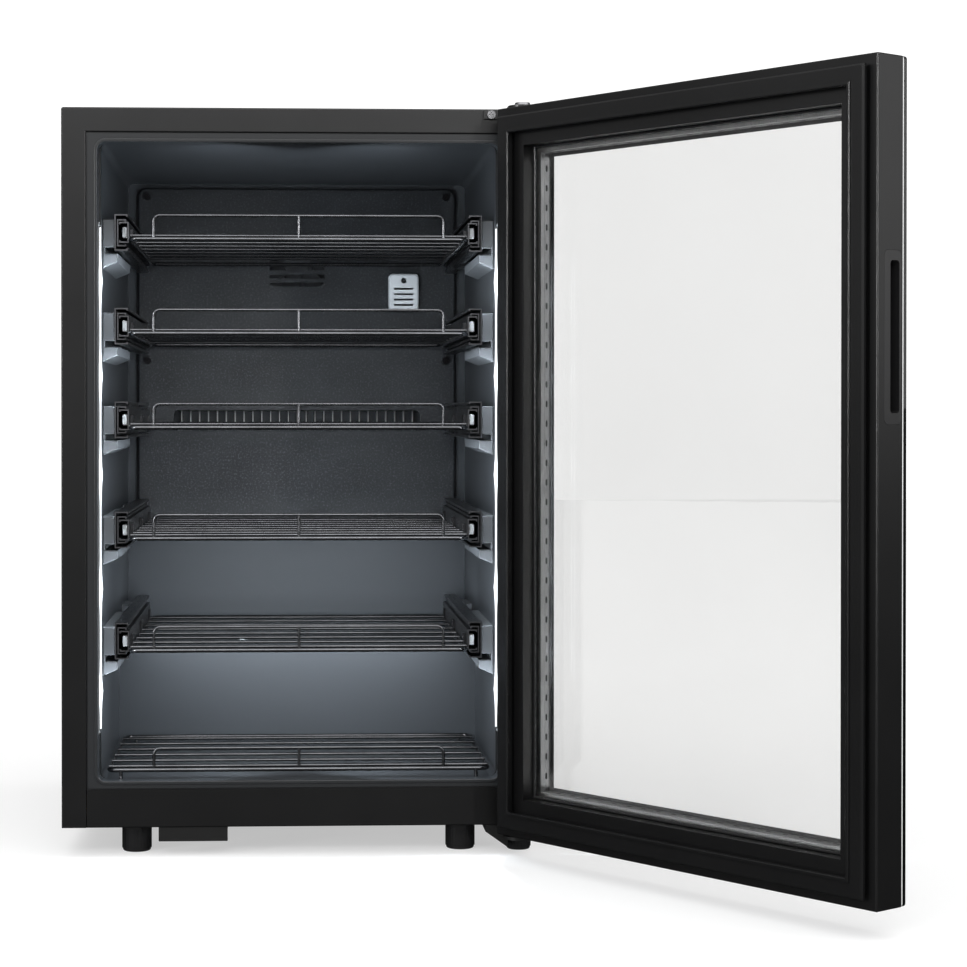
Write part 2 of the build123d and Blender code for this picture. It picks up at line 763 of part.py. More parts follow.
with BuildPart() as terminal_cover:
    cover_x = compressor_x - seam_wide - gap
    block(cover_x - 30, cover_x - 0.4, compressor_y - 24, compressor_y + 24, plate_z + 26, plate_z + 78)
    fillet(terminal_cover.edges().filter_by(Axis.Z), 4)
    fillet(terminal_cover.faces().sort_by(Axis.Z)[-1].edges(), 2)
save(terminal_cover, "terminal_cover")

condenser_left = -196.0
condenser_right = 10.0
condenser_low = 52.0
condenser_passes = 7
condenser_pitch = 14.0
condenser_top = condenser_low + condenser_pitch * (condenser_passes - 1)
condenser_tube = 2.4
condenser_wires = 12
condenser_wire = 0.9
with BuildPart() as condenser_coil:
    condenser_points = []
    for k in range(condenser_passes):
        z = condenser_low + condenser_pitch * k
        ends = (condenser_left, condenser_right) if k % 2 == 0 else (condenser_right, condenser_left)
        condenser_points += [(ends[0], line_y, z), (ends[1], line_y, z)]
    tube(condenser_points, 6.0, condenser_tube)
    wire_y = line_y + condenser_tube + 0.5
    for k in range(condenser_wires):
        x = condenser_left + 14 + 16 * k
        rod((x, wire_y, condenser_low - 6), (x, wire_y, condenser_top + 6), condenser_wire)
save(condenser_coil, "condenser_coil")

dryer_right = 20.0
dryer_left = -54.0
dryer_y = depth(300)
dryer_z = 60.0
with BuildPart() as filter_dryer:
    with BuildSketch(Plane(origin=(dryer_right, dryer_y, dryer_z), x_dir=(0, 1, 0), z_dir=(-1, 0, 0))):
        Circle(8.5)
    extrude(amount=dryer_right - dryer_left)
    fillet(filter_dryer.edges().filter_by(GeomType.CIRCLE), 4)
save(filter_dryer, "filter_dryer")

with BuildPart() as refrigerant_tubes:
    # discharge line from the compressor to the condenser's top pass
    discharge_x = compressor_x - 20
    discharge_z = 80.0
    tube([(discharge_x, compressor_y + 56, discharge_z), (discharge_x, line_y + 1, discharge_z),
          (40, line_y + 1, discharge_z), (40, line_y + 1, condenser_top),
          (condenser_right + gap, line_y, condenser_top)], 6.0, condenser_tube)
    # suction line from the compressor up to the evaporator
    tube([(line_x, compressor_y + 55.6, 84), (line_x, line_y, 84), (line_x, line_y, line_z),
          (line_x, coil_y + 20.3, line_z)], 6.0, 3.6)
    # capillary feed from the condenser to the dryer
    feed_x = condenser_left - 14
    tube([(condenser_left - gap, line_y, condenser_low), (feed_x, line_y, condenser_low),
          (feed_x, dryer_y, condenser_low), (feed_x, dryer_y, dryer_z),
          (dryer_left - gap, dryer_y, dryer_z)], 3.5, 1.6)
save(refrigerant_tubes, "refrigerant_tubes")

with BuildPart() as drip_tray:
    tray_z = cabinet_bottom + deck_sheet + gap
    block(-130, -20, depth(330), depth(425), tray_z, tray_z + 14)
    fillet(drip_tray.edges().filter_by(Axis.Z), 8)
    offset(amount=-1.8, openings=drip_tray.faces().sort_by(Axis.Z)[-1])
save(drip_tray, "drip_tray")

drain_low = 60.0
with BuildPart() as drain_tube:
    rod((drain_x, drain_y, drain_low), (drain_x, drain_y, step_top), drain_radius)
    rod((drain_x, drain_y, drain_low), (drain_x, drain_y, step_top), drain_radius - 1.5, Mode.SUBTRACT)
save(drain_tube, "drain_tube")

with BuildPart() as control_box:
    block(-205, -145, depth(300), depth(330), 88, 148)
    fillet(control_box.edges().filter_by(Axis.Y), 3)
save(control_box, "control_box")

with BuildPart() as cord_inlet:
    rod((cord_x, back_y + 5, cord_z), (cord_x, back_y + 0.1, cord_z), cord_bush_radius + 3)
    rod((cord_x, back_y + 5, cord_z), (cord_x, back_y - 7, cord_z), cord_bush_radius)
    rod((cord_x, back_y + 6, cord_z), (cord_x, back_y - 14, cord_z), cord_radius, Mode.SUBTRACT)
save(cord_inlet, "cord_inlet")


# ---------------------------------------------------------------- feet and brackets
def make_foot(name, x, y, radius, ribs, height):
    """A round screw-in foot with a ribbed skirt and a threaded stud."""
    with BuildPart() as foot:
        with BuildSketch(Plane.XY):
            with Locations((x, y)):
                Circle(radius - rib_stand_out)
        extrude(amount=height, taper=-1.5)
        base_rim = foot.edges().filter_by(GeomType.CIRCLE).group_by(Axis.Z)[0]
        fillet(base_rim, 2.0)
        with BuildSketch(Plane.XY.offset(3)):
            with Locations((x, y)):
                with PolarLocations(radius - 0.9, ribs):
                    Rectangle(1.8, 1.9)
        extrude(amount=height - 3)
        rod((x, y, height - 1), (x, y, stud_top), stud_radius)
    save(foot, name)


make_foot("foot_left", -foot_x, depth(foot_depth), front_foot_radius, 28, cabinet_bottom - gap)
make_foot("foot_right", foot_x, depth(foot_depth), front_foot_radius, 28, cabinet_bottom - gap)

plate_low = 20.0
plate_high = 23.0
bottom_screw = (206.0, depth(8))
make_foot("foot_hinge", hinge_foot_x, depth(hinge_foot_depth), hinge_foot_radius, 24, plate_low - gap)

with BuildPart() as rear_feet:
    for x in (-rear_foot_x, rear_foot_x):
        with BuildSketch(Plane.XY):
            with Locations((x, depth(rear_foot_depth))):
                Circle(13)
        extrude(amount=cabinet_bottom - 0.1, taper=-1.5)
    fillet(rear_feet.edges().filter_by(GeomType.CIRCLE).group_by(Axis.Z)[0], 2)
save(rear_feet, "rear_feet")

wedge_left = 178.0
wedge_right = 199.4
with BuildPart() as bottom_hinge_bracket:
    with BuildSketch(Plane.XY.offset(plate_low)):
        with Locations((hinge_x - 3, hinge_y)):
            Circle(15)
        rectangle(192, 222, hinge_y, depth(46))
    extrude(amount=plate_high - plate_low)
    block(180, 222, depth(2), depth(46), plate_high - 0.5, cabinet_bottom - 0.1)
    # moulded wedge beside the foot
    with BuildSketch(front_plane(depth(46))):
        with BuildLine():
            Polyline(
                (wedge_left, cabinet_bottom - 0.1), (wedge_left, 20.8), (wedge_right, 5.6),
                (wedge_right, cabinet_bottom - 0.1), close=True,
            )
        make_face()
    extrude(amount=44)
    with Locations((hinge_foot_x, depth(hinge_foot_depth), 22)):
        Cylinder(stud_radius + stud_clearance, 20, mode=Mode.SUBTRACT)
    with Locations((hinge_x, hinge_y, 22)):
        Cylinder(pin_radius + pin_fit, 20, mode=Mode.SUBTRACT)
    with Locations((*bottom_screw, 22)):
        Cylinder(hinge_screw_shank + 0.1, 20, mode=Mode.SUBTRACT)
save(bottom_hinge_bracket, "bottom_hinge_bracket")

tab_low = door_top + 0.4
top_screw = (183, 704.9)
tab_high = tab_low + bracket_sheet
with BuildPart() as top_hinge_bracket:
    block(176, half_width - 0.5, front_y - bracket_sheet, front_y - 0.02, 701, tab_high)
    with BuildSketch(Plane.XY.offset(tab_low)):
        with Locations((hinge_x, hinge_y)):
            Circle(tab_radius)
        rectangle(hinge_x - tab_radius, hinge_x + tab_radius, hinge_y, front_y - 0.02)
    extrude(amount=tab_high - tab_low)
    with BuildSketch(front_plane(front_y)):
        with Locations(top_screw):
            Circle(hinge_screw_shank + 0.1)
    extrude(amount=5, mode=Mode.SUBTRACT)
    with Locations((hinge_x, hinge_y, tab_low)):
        Cylinder(pin_radius + pin_fit, 20, mode=Mode.SUBTRACT)
save(top_hinge_bracket, "top_hinge_bracket")

with BuildPart() as hinge_screws:
    with BuildSketch(front_plane(front_y - bracket_sheet - 0.02)):
        with Locations(top_screw):
            Circle(hinge_screw_head)
    extrude(amount=1.6)
    with BuildSketch(front_plane(front_y - 0.1)):
        with Locations(top_screw):
            Circle(hinge_screw_shank)
    extrude(amount=3)
    with BuildSketch(front_plane(front_y - bracket_sheet - 0.7)):
        with Locations(top_screw):
            Rectangle(cross_length, cross_width)
            Rectangle(cross_width, cross_length)
    extrude(amount=2, mode=Mode.SUBTRACT)
    rod((*bottom_screw, plate_low - 1.6), (*bottom_screw, plate_low - 0.02), hinge_screw_head)
    rod((*bottom_screw, plate_low - 0.5), (*bottom_screw, cabinet_bottom - 0.2), hinge_screw_shank)
save(hinge_screws, "hinge_screws")

with BuildPart() as hinge_pins:
    rod((hinge_x, hinge_y, door_top - 12.5), (hinge_x, hinge_y, tab_high + 1), pin_radius)
    with BuildSketch(Plane.XY.offset(tab_high + 0.02)):
        with Locations((hinge_x, hinge_y)):
            Circle(8)
    extrude(amount=3, taper=20)
    rod((hinge_x, hinge_y, plate_low - 1), (hinge_x, hinge_y, door_bottom + 12.5), pin_radius)
    rod((hinge_x, hinge_y, plate_low - 1.8), (hinge_x, hinge_y, plate_low - 0.02), 5)
save(hinge_pins, "hinge_pins")

spare_left = -133.5
spare_right = -68.0
spare_low = cabinet_bottom - 13.7
with BuildPart() as bottom_left_bracket:
    block(spare_left, spare_right, depth(2), depth(56), cabinet_bottom - 2.6, cabinet_bottom - 0.1)
    block(spare_left, spare_right, depth(2), depth(4.5), spare_low, cabinet_bottom - 0.1)
    block(spare_left, spare_right, depth(2), depth(9), spare_low, spare_low + 2)
    fillet(bottom_left_bracket.edges().filter_by(Axis.Y).group_by(Axis.Z)[0], 0.8)
save(bottom_left_bracket, "bottom_left_bracket")

# ---------------------------------------------------------------- door, in its own turned frame
# along is +X and across is +Y when the door is shut; both turn with it about the hinge axis
turn = radians(door_open)
door_plane = Plane(origin=(hinge_x, hinge_y, 0), x_dir=(cos(turn), sin(turn), 0), z_dir=(0, 0, 1))
across = Vector(-sin(turn), cos(turn), 0)


def door_face(v):
    """A sketch plane parallel to the door's faces at this distance across from the hinge axis."""
    return Plane(
        origin=door_plane.origin + across * v, x_dir=door_plane.x_dir, z_dir=across * -1
    )


def door_ring(v_inner, v_outer, inset, width, corner=0.0, mode=Mode.ADD):
    """A rectangular ring inset from the door's edges, between two depths."""
    with BuildSketch(door_face(v_inner)) as ring:
        rectangle(free_edge + inset, hinge_edge - inset, door_bottom + inset, door_top - inset, corner)
        inner = inset + width
        rectangle(free_edge + inner, hinge_edge - inner, door_bottom + inner, door_top - inner,
                  mode=Mode.SUBTRACT)
    extrude(ring.sketch, amount=v_inner - v_outer, mode=mode)


def door_panel(v_inner, v_outer, inset, corner=0.0, mode=Mode.ADD):
    """A rectangular sheet inset from the door's edges, between two depths."""
    with BuildSketch(door_face(v_inner)) as sheet:
        rectangle(free_edge + inset, hinge_edge - inset, door_bottom + inset, door_top - inset, corner)
    extrude(sheet.sketch, amount=v_inner - v_outer, mode=mode)


handle_low = 411.6
handle_high = 550.7
slot_low = 420.5
slot_high = 542.7
handle_in = inner_face - 8.0
handle_out = inner_face - 30.0
slot_in = inner_face - 15.6
slot_out = inner_face - 27.0
glass_in = outer_face + glass_thickness


cup_wall = 1.6
rim_depth = 2.0
cup_depth = 18.5
slot_depth = 17.0


def handle_pocket(grow, mode):
    """The shape of the handle's rim and cup, let into the door's free edge."""
    edge_plane = Plane(
        origin=door_plane.from_local_coords((free_edge, 0, 0)),
        x_dir=across, z_dir=door_plane.x_dir,
    )
    with BuildSketch(edge_plane) as rim:
        rectangle(handle_out - grow, handle_in + grow, handle_low - grow, handle_high + grow, corner=5)
    extrude(rim.sketch, amount=rim_depth + grow, mode=mode)
    rim_grow = cup_wall + grow
    with BuildSketch(edge_plane) as cup:
        rectangle(slot_out - rim_grow, slot_in + rim_grow, slot_low - rim_grow, slot_high + rim_grow,
                  corner=4)
    extrude(cup.sketch, amount=cup_depth + 2 * grow, mode=mode)


with BuildPart() as door_frame:
    door_ring(inner_face, glass_in, 0, door_lip)
    door_panel(inner_face - window_recess, glass_in, door_lip - 10, mode=Mode.SUBTRACT)
    upright = door_frame.edges().filter_by(Axis.Z).filter_by(lambda e: e.length > door_height - 1)
    fillet(upright, 1.6)
    face_rim = door_frame.edges().filter_by(
        lambda e: abs(door_plane.to_local_coords(e.center()).Y - inner_face) < 0.01
        and (e.center().Z > door_top - 0.1 or e.center().Z < door_bottom + 0.1)
    )
    fillet(face_rim, 1.4)
    # groove for the gasket's dart
    door_ring(inner_face, inner_face - dart_depth - 0.2, dart_inset - 0.2, dart_width + 0.4,
              mode=Mode.SUBTRACT)
    handle_pocket(0.2, Mode.SUBTRACT)
    for z in (door_bottom, door_top):
        with Locations((hinge_x, hinge_y, z)):
            Cylinder(bush_radius + bush_seat, 2 * bush_length + 0.4, mode=Mode.SUBTRACT)
save(door_frame, "door_frame")

with BuildPart() as door_front_glass:
    door_panel(glass_in - 0.05, outer_face, 0, corner=3)
save(door_front_glass, "door_front_glass")

inner_glass_back = inner_face - window_recess - glass_thickness
with BuildPart() as door_inner_glass:
    door_panel(inner_face - window_recess - 0.1, inner_glass_back, door_lip - 8)
save(door_inner_glass, "door_inner_glass")

with BuildPart() as door_glass_spacer:
    door_ring(inner_glass_back - 0.05, glass_in + 0.05, door_lip - 2, spacer_inset - door_lip + 2)
save(door_glass_spacer, "door_glass_spacer")

trim_top = inner_face - window_recess + 2.6
with BuildPart() as door_trim_bead:
    door_ring(trim_top, inner_face - window_recess, door_lip + 0.1, 2.4)
    bead_edges = door_trim_bead.edges().filter_by(
        lambda e: abs(door_plane.to_local_coords(e.center()).Y - trim_top) < 0.01
    )
    fillet(bead_edges, 0.9)
save(door_trim_bead, "door_trim_bead")

gasket_top = hinge_to_front - gasket_short
with BuildPart() as door_gasket:
    door_ring(gasket_top, inner_face + 4.2, gasket_inset, gasket_width)
    outer_rim = door_gasket.edges().filter_by(
        lambda e: abs(door_plane.to_local_coords(e.center()).Y - gasket_top) < 0.01
        and (
            abs(door_plane.to_local_coords(e.center()).X - (hinge_edge - gasket_inset)) < 0.01
            or abs(door_plane.to_local_coords(e.center()).X - (free_edge + gasket_inset)) < 0.01
            or e.center().Z > door_top - gasket_inset - 0.5
            or e.center().Z < door_bottom + gasket_inset + 0.5
        )
    )
    chamfer(outer_rim, 1.5)
    # rounded sealing ridge, bellows and the dart that holds it in the frame
    ridge_top = hinge_to_front - ridge_short
    door_ring(ridge_top, gasket_top - 1, gasket_inset + gasket_width - ridge_width, ridge_width)
    ridge_edges = door_gasket.edges().filter_by(
        lambda e: abs(door_plane.to_local_coords(e.center()).Y - ridge_top) < 0.01
    )
    fillet(ridge_edges, ridge_round)
    door_ring(inner_face + 4.3, inner_face + 0.02, gasket_inset + 3, 10)
    door_ring(inner_face + 1, inner_face - dart_depth, dart_inset, dart_width)
save(door_gasket, "door_gasket")

with BuildPart() as door_handle:
    handle_pocket(0.0, Mode.ADD)
    with BuildSketch(Plane(
        origin=door_plane.from_local_coords((free_edge, 0, 0)),
        x_dir=across, z_dir=door_plane.x_dir,
    )):
        rectangle(slot_out, slot_in, slot_low, slot_high, corner=3)
    extrude(amount=slot_depth, mode=Mode.SUBTRACT)
save(door_handle, "door_handle")

with BuildPart() as door_hinge_bushes:
    for z in (door_bottom + bush_length / 2, door_top - bush_length / 2):
        with Locations((hinge_x, hinge_y, z)):
            Cylinder(bush_radius, bush_length)
            Cylinder(pin_radius + bush_fit, bush_length + 1, mode=Mode.SUBTRACT)
save(door_hinge_bushes, "door_hinge_bushes")
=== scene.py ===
"""Free-standing wine cooler with its door open: looks, small trim, light and camera.

Metres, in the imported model's own frame: +X is the hinge side, -Y the front, +Z up.
"""
import json
import math

import bmesh
import bpy
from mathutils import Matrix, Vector


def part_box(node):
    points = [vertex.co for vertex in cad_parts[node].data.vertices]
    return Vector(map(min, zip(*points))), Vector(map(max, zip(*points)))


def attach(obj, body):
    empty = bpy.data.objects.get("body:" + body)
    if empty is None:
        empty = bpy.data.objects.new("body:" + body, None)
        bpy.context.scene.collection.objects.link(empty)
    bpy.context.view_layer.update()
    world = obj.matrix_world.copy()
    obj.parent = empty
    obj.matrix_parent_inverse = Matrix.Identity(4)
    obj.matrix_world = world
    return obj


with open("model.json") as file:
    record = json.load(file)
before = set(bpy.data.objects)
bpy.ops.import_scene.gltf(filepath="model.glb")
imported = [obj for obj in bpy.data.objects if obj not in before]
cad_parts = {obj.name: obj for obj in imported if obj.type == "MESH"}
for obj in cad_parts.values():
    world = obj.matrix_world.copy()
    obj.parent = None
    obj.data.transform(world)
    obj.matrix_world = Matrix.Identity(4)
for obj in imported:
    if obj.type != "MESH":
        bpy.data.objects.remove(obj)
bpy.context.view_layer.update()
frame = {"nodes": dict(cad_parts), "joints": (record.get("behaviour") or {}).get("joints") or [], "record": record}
nodes = frame["nodes"]
slot_of = {s["node"]: s["material_slot"] for s in frame["record"]["subparts"]}
SHELVES = range(1, 6)
SIDES = ((-1, "left"), (1, "right"))
MAP_RANGE_SOCKETS = ("From Min", "From Max", "To Min", "To Max")


def set_range(node, *limits):
    """Sets a map range node's limits: from low, from high, to low, to high."""
    for socket, limit in zip(MAP_RANGE_SOCKETS, limits):
        node.inputs[socket].default_value = limit


# ---------------------------------------------------------------- material building blocks
class Graph:
    """One material's node graph, with the object's own coordinates in metres."""

    def __init__(self, name):
        self.name = name
        self.material = bpy.data.materials.new(name)
        self.material.use_nodes = True
        self.tree = self.material.node_tree
        self.shader = next(n for n in self.tree.nodes if n.type == "BSDF_PRINCIPLED")
        self.position = self.add("ShaderNodeTexCoord").outputs["Object"]

    def add(self, kind, **settings):
        node = self.tree.nodes.new(kind)
        for key, value in settings.items():
            setattr(node, key, value)
        return node

    def link(self, source, target):
        self.tree.links.new(source, target)

    def stretched(self, stretch):
        """The position with each axis scaled, for grain that runs one way."""
        mapping = self.add("ShaderNodeMapping")
        mapping.inputs["Scale"].default_value = stretch
        self.link(self.position, mapping.inputs["Vector"])
        return mapping.outputs["Vector"]

    def noise(self, size, detail=2.0, roughness=0.5, stretch=(1, 1, 1)):
        """Noise whose features are about this size in metres."""
        texture = self.add("ShaderNodeTexNoise")
        texture.inputs["Scale"].default_value = 1 / size
        texture.inputs["Detail"].default_value = detail
        texture.inputs["Roughness"].default_value = roughness
        self.link(self.stretched(stretch), texture.inputs["Vector"])
        return texture.outputs["Fac"]

    def remap(self, source, low, high, out_low, out_high):
        """A value moved from one range to another, and held inside it."""
        node = self.add("ShaderNodeMapRange")
        self.link(source, node.inputs["Value"])
        set_range(node, low, high, out_low, out_high)
        return node.outputs["Result"]

    def blend(self, factor, first, second):
        """Two colours mixed by a factor."""
        node = self.add("ShaderNodeMix", data_type="RGBA")
        self.link(factor, node.inputs["Factor"])
        for socket, colour in (("A", first), ("B", second)):
            target = next(i for i in node.inputs if i.name == socket and i.type == "RGBA")
            if isinstance(colour, tuple):
                target.default_value = (*colour, 1)
            else:
                self.link(colour, target)
        return next(o for o in node.outputs if o.type == "RGBA")

    def colour(self, source):
        self.link(source, self.shader.inputs["Base Color"])

    def rough(self, source):
        self.link(source, self.shader.inputs["Roughness"])

    def bump(self, layers):
        """Surface relief from (height source, depth in metres) pairs."""
        normal = None
        for source, depth in layers:
            node = self.add("ShaderNodeBump")
            node.inputs["Distance"].default_value = depth
            self.link(source, node.inputs["Height"])
            if normal:
                self.link(normal, node.inputs["Normal"])
            normal = node.outputs["Normal"]
        self.link(normal, self.shader.inputs["Normal"])

    def set(self, **values):
        """Sets the shader's own sockets, named with _ for each space."""
        for key, value in values.items():
            self.shader.inputs[key.replace("_", " ")].default_value = value


def shade(colour, factor):
    """A colour made lighter or darker."""
    return tuple(min(1.0, c * factor) for c in colour)


# how much of a noise's 0 to 1 is spread over the whole range of a tone or a gloss
ALL_OF_IT = (0.1, 0.9)
MIDDLE_OF_IT = (0.3, 0.7)


def tones(g, cloud, part, first, second):
    """A colour that drifts from one to another with a noise."""
    return g.blend(g.remap(cloud, *part, 0, 1), first, second)


def drift(g, cloud, part, colour, variation):
    """A colour that drifts darker and lighter with a noise."""
    return tones(g, cloud, part, shade(colour, 1 - variation), shade(colour, 1 + variation))


def moulded(name, colour, rough, grain=0.0006, relief=0.00004, spread=0.02, variation=0.14,
            patch=0.06, specular=0.5, coat=0.0):
    """Paint, plastic or rubber: a fine skin texture, with soft changes of tone and gloss."""
    g = Graph(name)
    skin = g.noise(grain, detail=3)
    cloud = g.noise(patch, detail=2)
    g.colour(drift(g, cloud, ALL_OF_IT, colour, variation))
    g.rough(g.remap(cloud, *ALL_OF_IT, rough - spread, rough + spread))
    g.bump([(skin, relief)])
    g.set(Specular_IOR_Level=specular, Coat_Weight=coat)
    return g


def metal(name, colour, rough, along=(1, 0.04, 1), scratch=0.0004, relief=0.00002, spread=0.08,
          variation=0.12, patch=0.02):
    """Bare metal with fine lines along its length and soft changes of tone."""
    g = Graph(name)
    lines = g.noise(scratch, detail=2, stretch=along)
    cloud = g.noise(patch, detail=4, roughness=0.6)
    g.colour(drift(g, cloud, MIDDLE_OF_IT, colour, variation))
    g.rough(g.remap(lines, *MIDDLE_OF_IT, rough - spread, rough + spread))
    g.bump([(lines, relief)])
    g.set(Metallic=1.0)
    return g


def speckled(name, colour, fleck, rough):
    """Dark moulded plastic with fine light flecks that stand out a little."""
    g = moulded(name, colour, rough)
    flecks = g.noise(0.0022, detail=5, roughness=0.75)
    cloud = g.noise(0.05, detail=3)
    base = tones(g, cloud, MIDDLE_OF_IT, shade(colour, 0.8), shade(colour, 1.25))
    fleck_edge = (0.52, 0.66)  # where in the noise a fleck starts, and where it is full
    g.colour(tones(g, flecks, fleck_edge, base, fleck))
    g.bump([(flecks, 0.0002)])
    return g


def clear_glass(name, tint, rough):
    """Clear glass with a trace of unevenness in its surface."""
    g = Graph(name)
    wave = g.noise(0.12, detail=2)
    g.colour(tones(g, wave, MIDDLE_OF_IT, tint, shade(tint, 1.01)))
    g.rough(g.remap(wave, *MIDDLE_OF_IT, rough, rough + 0.01))
    g.bump([(wave, 0.00002)])
    g.set(Transmission_Weight=1.0, IOR=1.5)
    return g


def lit(name, colour, strength):
    """Frosted lens lit from behind."""
    g = moulded(name, (0.030, 0.031, 0.033), 0.4, grain=0.0004)
    g.set(Emission_Color=(*colour, 1), Emission_Strength=strength)
    return g


COOL_WHITE = (0.83, 0.92, 1.0)
BLACK_PAINT = (0.0028, 0.0028, 0.0030)
BLACK_TRIM = (0.012, 0.012, 0.0125)
ANY_WAY = (1, 1, 1)  # grain with no direction
UPRIGHT = (1, 1, 0.05)  # grain drawn out along the height
finishes = {finish.name: finish for finish in (
    moulded("cabinet_paint", BLACK_PAINT, 0.30, grain=0.0008, relief=0.00003),
    metal("galvanised", (0.50, 0.51, 0.53), 0.42, along=ANY_WAY, scratch=0.004, patch=0.012,
          variation=0.25),
    moulded("liner_plastic", (0.0165, 0.0176, 0.0192), 0.30, grain=0.0007, relief=0.00002,
            variation=0.04, patch=0.3, specular=0.4),
    moulded("foam", (0.74, 0.62, 0.36), 0.9, grain=0.001, relief=0.0003),
    speckled("cover_plastic", (0.0045, 0.0048, 0.0053), (0.030, 0.031, 0.034), 0.5),
    metal("screw_black", (0.05, 0.05, 0.055), 0.35, along=ANY_WAY),
    metal("aluminium_coil", (0.72, 0.73, 0.74), 0.35, along=(0.05, 1, 1)),
    moulded("fan_plastic", (0.018, 0.018, 0.019), 0.45),
    moulded("grey_plastic", (0.20, 0.205, 0.21), 0.45),
    moulded("compressor_paint", (0.012, 0.012, 0.012), 0.25, grain=0.0015, coat=0.3),
    moulded("rubber_black", (0.016, 0.016, 0.016), 0.75, relief=0.0001),
    moulded("condenser_paint", (0.014, 0.014, 0.014), 0.4),
    metal("copper", (0.74, 0.40, 0.26), 0.3, along=ANY_WAY, patch=0.01, variation=0.2),
    lit("led_light", COOL_WHITE, 0.04),
    moulded("spacer_plastic", (0.050, 0.0525, 0.056), 0.45),
    metal("slide_steel", (0.17, 0.174, 0.184), 0.3),
    moulded("bracket_steel", (0.006, 0.006, 0.006), 0.34),
    moulded("foot_plastic", (0.010, 0.010, 0.0105), 0.22),
    metal("pin_steel", (0.30, 0.30, 0.31), 0.25, along=UPRIGHT),
    metal("shelf_wire", (0.12, 0.123, 0.13), 0.22, along=ANY_WAY, patch=0.03, variation=0.2),
    moulded("door_paint", BLACK_PAINT, 0.30, grain=0.0008, relief=0.00003),
    clear_glass("door_glass", (0.902, 0.902, 0.899), 0.0),
    metal("spacer_aluminium", (0.38, 0.385, 0.39), 0.34, along=(1, 1, 0.02)),
    moulded("gasket_rubber", (0.005, 0.005, 0.0052), 0.22, grain=0.0005, relief=0.00004),
    moulded("bead_plastic", BLACK_TRIM, 0.2, relief=0.00001),
    moulded("handle_plastic", BLACK_TRIM, 0.3, grain=0.0006),
    moulded("bush_plastic", (0.62, 0.62, 0.6), 0.45),
)}
for node_name, obj in nodes.items():
    finish_material = finishes[slot_of[node_name]].material
    if not obj.material_slots:
        obj.data.materials.append(finish_material)
    for material_slot in obj.material_slots:
        material_slot.material = finish_material


# ---------------------------------------------------------------- small trim
def new_piece(name, mesh_builder, body, finish):
    """A mesh object from a bmesh, riding on a body."""
    mesh = bpy.data.meshes.new(name)
    mesh_builder.to_mesh(mesh)
    mesh_builder.free()
    mesh.materials.append(finish)
    piece = bpy.data.objects.new(name, mesh)
    bpy.context.collection.objects.link(piece)
    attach(piece, body)
    return piece


def rounded_block(builder, low, high, radius):
    """Fills an empty builder with a box between two corners, and rounds its edges."""
    size = Vector(high) - Vector(low)
    centre = (Vector(high) + Vector(low)) / 2
    made = bmesh.ops.create_cube(builder, size=1.0)
    bmesh.ops.scale(builder, vec=size, verts=made["verts"])
    bmesh.ops.translate(builder, vec=centre, verts=made["verts"])
    bmesh.ops.bevel(builder, geom=list(builder.edges), offset=radius, segments=3, affect="EDGES",
                    profile=0.5)


# a rubber bumper in the front end of each inner slide rail
RAIL_WEB = 0.0026  # from the rail's outer face to where a bumper may start
BUMPER_THICK = 0.0052  # across the slide
BUMPER_LONG = 0.011
BUMPER_HIGH = 0.0105
BUMPER_SET_BACK = 0.0012  # behind the rail's front end
BUMPER_CLEAR = 0.0004
BUMPER_EDGE = 0.0011  # its edges' radius
for i in SHELVES:
    rail_low, rail_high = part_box(f"slide_inner_rails_{i}")
    middle = (rail_low[2] + rail_high[2]) / 2
    front = rail_low[1] + BUMPER_SET_BACK
    outer = rail_high[0] - RAIL_WEB
    for side, side_name in SIDES:
        b = bmesh.new()
        xs = sorted((side * (outer - BUMPER_THICK), side * (outer - BUMPER_CLEAR)))
        rounded_block(
            b,
            (xs[0], front, middle - BUMPER_HIGH / 2),
            (xs[1], front + BUMPER_LONG, middle + BUMPER_HIGH / 2),
            BUMPER_EDGE,
        )
        new_piece(
            f"slide_bumper_{i}_{side_name}", b,
            f"shelf_{i}_body", finishes["grey_plastic"].material,
        )

# the glowing line along each light strip's front, which swells at the lamps; on the lens it is the lit lens, and
# where the swelling spreads past the lens's edges it is a painted halo of light
LAMP_HEIGHTS = (0.546, 0.456, 0.362, 0.254, 0.157)
LINE_HALF = 0.00062
SWELL_HALF = 0.0022
# at its widest the line spreads past both edges of the lens: a painted halo of light round each lamp
SWELL_LONG = 0.036  # from a lamp to where its swelling ends
SWELL_RISE, SWELL_POINT = 0.8, 2  # the powers that shape the swelling's sides
LINE_DEEP = 0.0008
LINE_PROUD = 0.00015
LINE_SHORT = 0.002  # at each end of the lens
LINE_STEPS = 240
LENS_WIDE = 0.0022
lens_low, lens_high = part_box("led_lenses")  # both; the right one ends at the high x
lens_inner = lens_high[0] - LENS_WIDE
lens_middle = lens_high[0] - LENS_WIDE / 2


def swelling(height):
    """Half the line's width at this height."""
    near = min(abs(height - lamp) for lamp in LAMP_HEIGHTS) / SWELL_LONG
    return LINE_HALF + (SWELL_HALF - LINE_HALF) * max(0.0, 1 - near ** SWELL_RISE) ** SWELL_POINT


def glow_line(builder, side):
    """Adds one strip's line, as a closed sliver let into the lens's front face."""
    front = lens_low[1] - LINE_PROUD
    back = front + LINE_DEEP
    bottom = lens_low[2] + LINE_SHORT
    length = lens_high[2] - lens_low[2] - 2 * LINE_SHORT
    rings = []
    for n in range(LINE_STEPS + 1):
        z = bottom + length * n / LINE_STEPS
        near, far = lens_middle - swelling(z), lens_middle + swelling(z)
        rings.append([
            builder.verts.new((side * x, y, z))
            for x, y in ((near, front), (far, front), (far, back), (near, back))
        ])
    for lower, upper in zip(rings, rings[1:]):
        for k in range(4):
            j = (k + 1) % 4
            builder.faces.new((lower[k], lower[j], upper[j], upper[k]))
    builder.faces.new(rings[0][::-1])
    builder.faces.new(rings[-1])
    bmesh.ops.recalc_face_normals(builder, faces=builder.faces)
